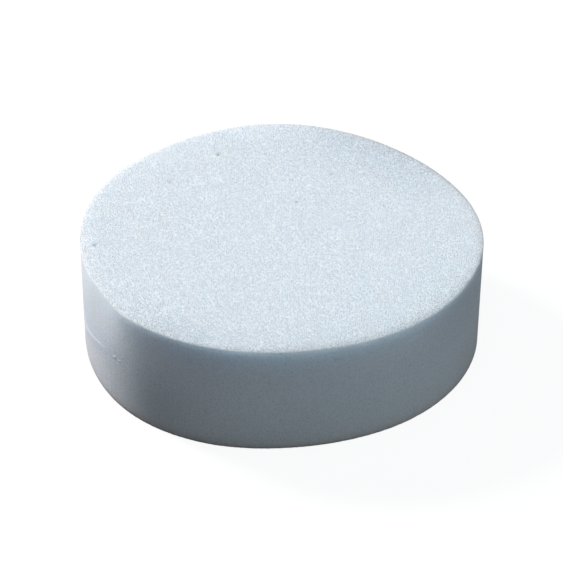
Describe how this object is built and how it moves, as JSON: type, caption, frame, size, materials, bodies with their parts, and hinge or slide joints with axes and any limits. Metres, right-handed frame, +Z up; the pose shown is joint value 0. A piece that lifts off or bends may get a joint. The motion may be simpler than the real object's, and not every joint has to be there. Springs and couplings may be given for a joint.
{
  "type": "bath sponge",
  "caption": "Round laminated foam bath sponge: soft discs bonded face to face, with flat faces, a straight wall and soft rims, that squeezes flat and springs back.",
  "frame": {"origin": "on the surface that the sponge stands on, under the middle of its outline", "axes": "+Z up through the thickness, -Y towards the viewer of the picture, +X to that viewer's right"},
  "size_m": [0.1304, 0.1304, 0.0382],
  "materials": {
    "foam": "matte",
    "adhesive": "satin"
  },
  "bodies": {
    "lower_body": {"lower_foam_layer": "foam"},
    "bond_body": {"bond_film": "adhesive"},
    "upper_body": {"upper_foam_layer": "foam"}
  },
  "joints": [
    {"name": "squeeze", "type": "slide", "parent": "lower_body", "child": "upper_body", "axis": [0, 0, -1], "range_m": [0, 0.019], "stiffness_N_per_m": 3500, "deforming": ["lower_foam_layer", "upper_foam_layer"]},
    {"name": "bond_follow", "type": "slide", "parent": "lower_body", "child": "bond_body", "axis": [0, 0, -1], "range_m": [0, 0.0095]}
  ],
  "couplings": [
    {"joint": "bond_follow", "follows": "squeeze", "ratio": 0.5}
  ]
}
